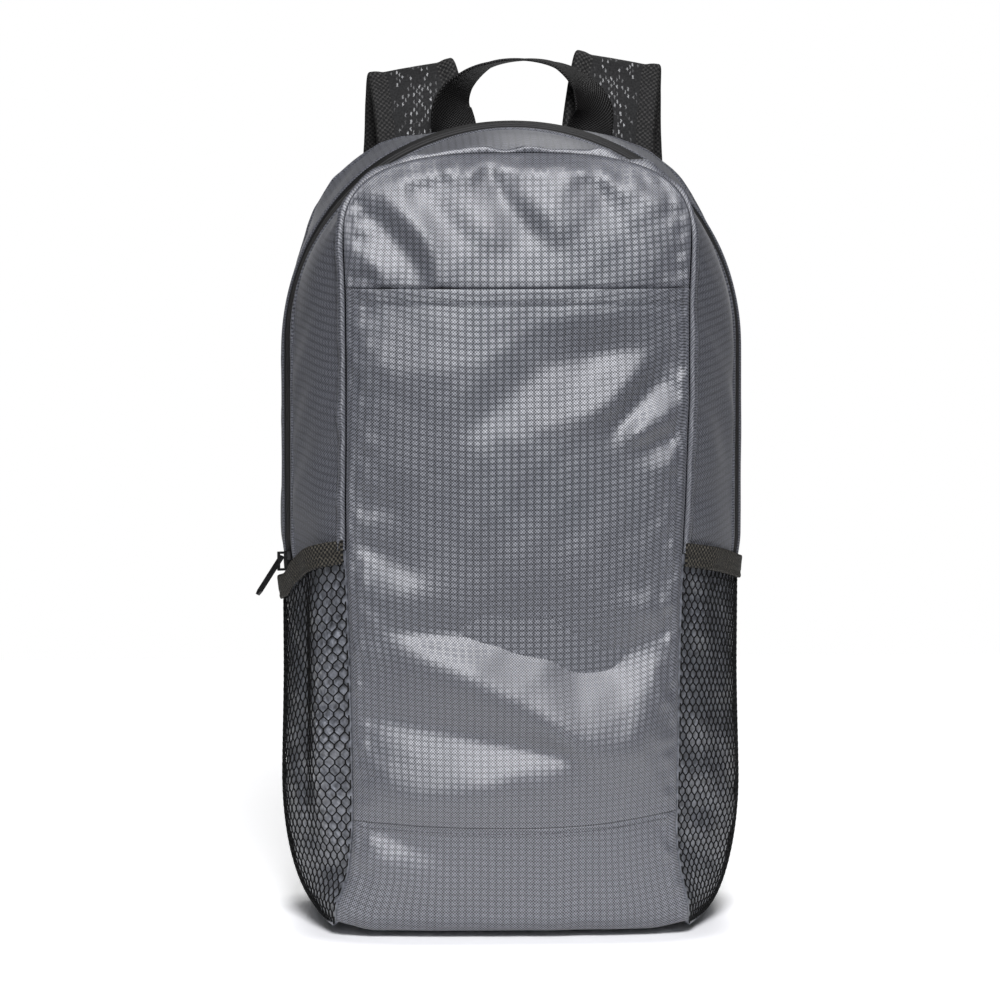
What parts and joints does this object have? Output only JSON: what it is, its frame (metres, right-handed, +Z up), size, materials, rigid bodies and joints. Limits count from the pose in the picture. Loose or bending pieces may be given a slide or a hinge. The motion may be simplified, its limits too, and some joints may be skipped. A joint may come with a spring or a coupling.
{
  "type": "lightweight backpack",
  "caption": "Soft zip-top daypack standing on its base, with a front slip pocket, mesh side pockets, padded shoulder straps and a webbing grab handle.",
  "frame": {"origin": "on the floor, at the middle of the flat base under the zip line", "axes": "+Z up the standing bag, -Y out of the front pocket, +X to the right as seen from the front"},
  "size_m": [0.2713, 0.203, 0.4823],
  "materials": {
    "grey_cloth": "shiny woven check",
    "zip_tape": "matte woven",
    "side_net": "knitted net",
    "binding": "matte woven",
    "webbing": "ribbed woven",
    "strap_mesh": "open knitted mesh",
    "buckle": "matte",
    "zip_metal": "black lacquer"
  },
  "bodies": {
    "bag": {"front_panel": "grey_cloth", "front_pocket": "grey_cloth", "base_panel": "grey_cloth", "front_gusset": "grey_cloth", "back_gusset": "grey_cloth", "zipper_tape": "zip_tape", "back_panel": "grey_cloth", "side_panel_left": "grey_cloth", "side_panel_right": "grey_cloth", "mesh_pocket_left": "side_net", "mesh_pocket_right": "side_net", "pocket_band_left": "binding", "pocket_band_right": "binding", "strap_pad_left": "strap_mesh", "strap_pad_right": "strap_mesh", "strap_binding_inner_left": "binding", "strap_binding_inner_right": "binding", "strap_binding_outer_left": "binding", "strap_binding_outer_right": "binding", "strap_tab_left": "webbing", "strap_tab_right": "webbing", "ladder_lock_left": "buckle", "ladder_lock_right": "buckle", "strap_webbing_left": "webbing", "strap_webbing_right": "webbing", "grab_handle": "webbing", "zip_slider": "zip_metal"},
    "zip_pull": {"zip_pull": "zip_metal"}
  },
  "joints": [
    {"name": "zip_pull_swing", "type": "hinge", "parent": "bag", "child": "zip_pull", "pos_m": [-0.12949, -0.00189, 0.2], "axis": [-0.2783, 0.9605, 0], "range_deg": [0, 110]}
  ]
}
